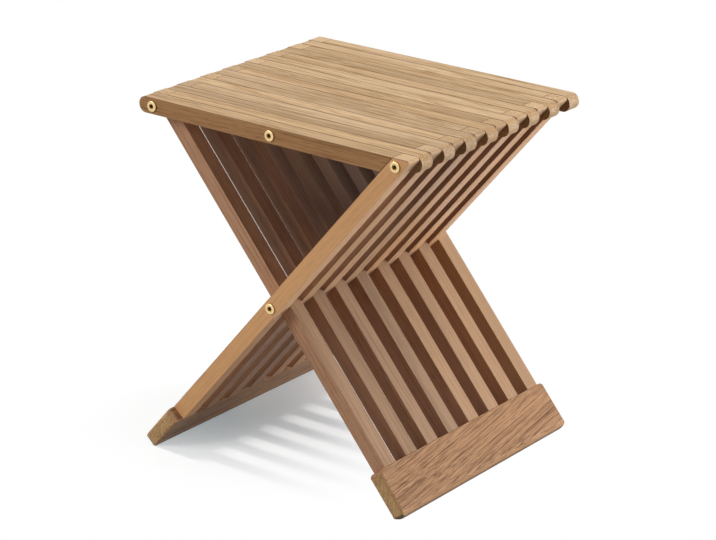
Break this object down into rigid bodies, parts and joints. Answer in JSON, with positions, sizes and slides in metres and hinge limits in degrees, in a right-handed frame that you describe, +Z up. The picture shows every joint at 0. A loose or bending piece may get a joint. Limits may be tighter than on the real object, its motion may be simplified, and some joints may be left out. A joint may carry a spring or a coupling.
{
  "type": "folding stool",
  "caption": "Folding stool of square hardwood bars: two meshing combs of seat slats and two crossing combs of legs on foot bars, hinged on steel rods with brass nuts.",
  "frame": {"origin": "on the floor, under the centre of the seat and midway between the feet", "axes": "+X along the seat slats towards the right foot, +Y from the front to the back, along the rods, +Z up"},
  "size_m": [0.402, 0.3594, 0.445],
  "materials": {
    "seat_wood": "oiled",
    "leg_wood": "oiled",
    "foot_wood": "oiled",
    "steel": "satin",
    "brass": "polished"
  },
  "bodies": {
    "left_leg_frame": {"left_leg_1": "leg_wood", "left_leg_2": "leg_wood", "left_leg_3": "leg_wood", "left_leg_4": "leg_wood", "left_leg_5": "leg_wood", "left_leg_6": "leg_wood", "left_leg_7": "leg_wood", "left_leg_8": "leg_wood", "left_foot": "foot_wood", "cross_rod": "steel", "cross_rod_front_nut": "brass", "cross_rod_back_nut": "brass", "right_rod": "steel", "right_rod_front_nut": "brass", "right_rod_back_nut": "brass"},
    "right_leg_frame": {"right_leg_1": "leg_wood", "right_leg_2": "leg_wood", "right_leg_3": "leg_wood", "right_leg_4": "leg_wood", "right_leg_5": "leg_wood", "right_leg_6": "leg_wood", "right_leg_7": "leg_wood", "right_leg_8": "leg_wood", "right_foot": "foot_wood"},
    "right_seat_half": {"right_seat_slat_1": "seat_wood", "right_seat_slat_2": "seat_wood", "right_seat_slat_3": "seat_wood", "right_seat_slat_4": "seat_wood", "right_seat_slat_5": "seat_wood", "right_seat_slat_6": "seat_wood", "right_seat_slat_7": "seat_wood", "right_seat_slat_8": "seat_wood", "middle_rod": "steel", "middle_rod_front_nut": "brass", "middle_rod_back_nut": "brass"},
    "left_seat_half": {"left_seat_slat_1": "seat_wood", "left_seat_slat_2": "seat_wood", "left_seat_slat_3": "seat_wood", "left_seat_slat_4": "seat_wood", "left_seat_slat_5": "seat_wood", "left_seat_slat_6": "seat_wood", "left_seat_slat_7": "seat_wood", "left_seat_slat_8": "seat_wood", "left_rod": "steel", "left_rod_front_nut": "brass", "left_rod_back_nut": "brass"}
  },
  "joints": [
    {"name": "fold", "type": "hinge", "parent": "left_leg_frame", "child": "right_leg_frame", "pos_m": [0, 0, 0.2225], "axis": [0, 1, 0], "range_deg": [0, 75.14]},
    {"name": "right_seat_hinge", "type": "hinge", "parent": "left_leg_frame", "child": "right_seat_half", "pos_m": [0.18, 0, 0.435], "axis": [0, 1, 0], "range_deg": [0, 123.39]},
    {"name": "middle_seat_hinge", "type": "hinge", "parent": "right_seat_half", "child": "left_seat_half", "pos_m": [0, 0, 0.435], "axis": [0, -1, 0], "range_deg": [0, 171.65]}
  ],
  "couplings": [
    {"joint": "right_seat_hinge", "follows": "fold", "ratio": 1.6422},
    {"joint": "middle_seat_hinge", "follows": "fold", "ratio": 2.2844}
  ]
}
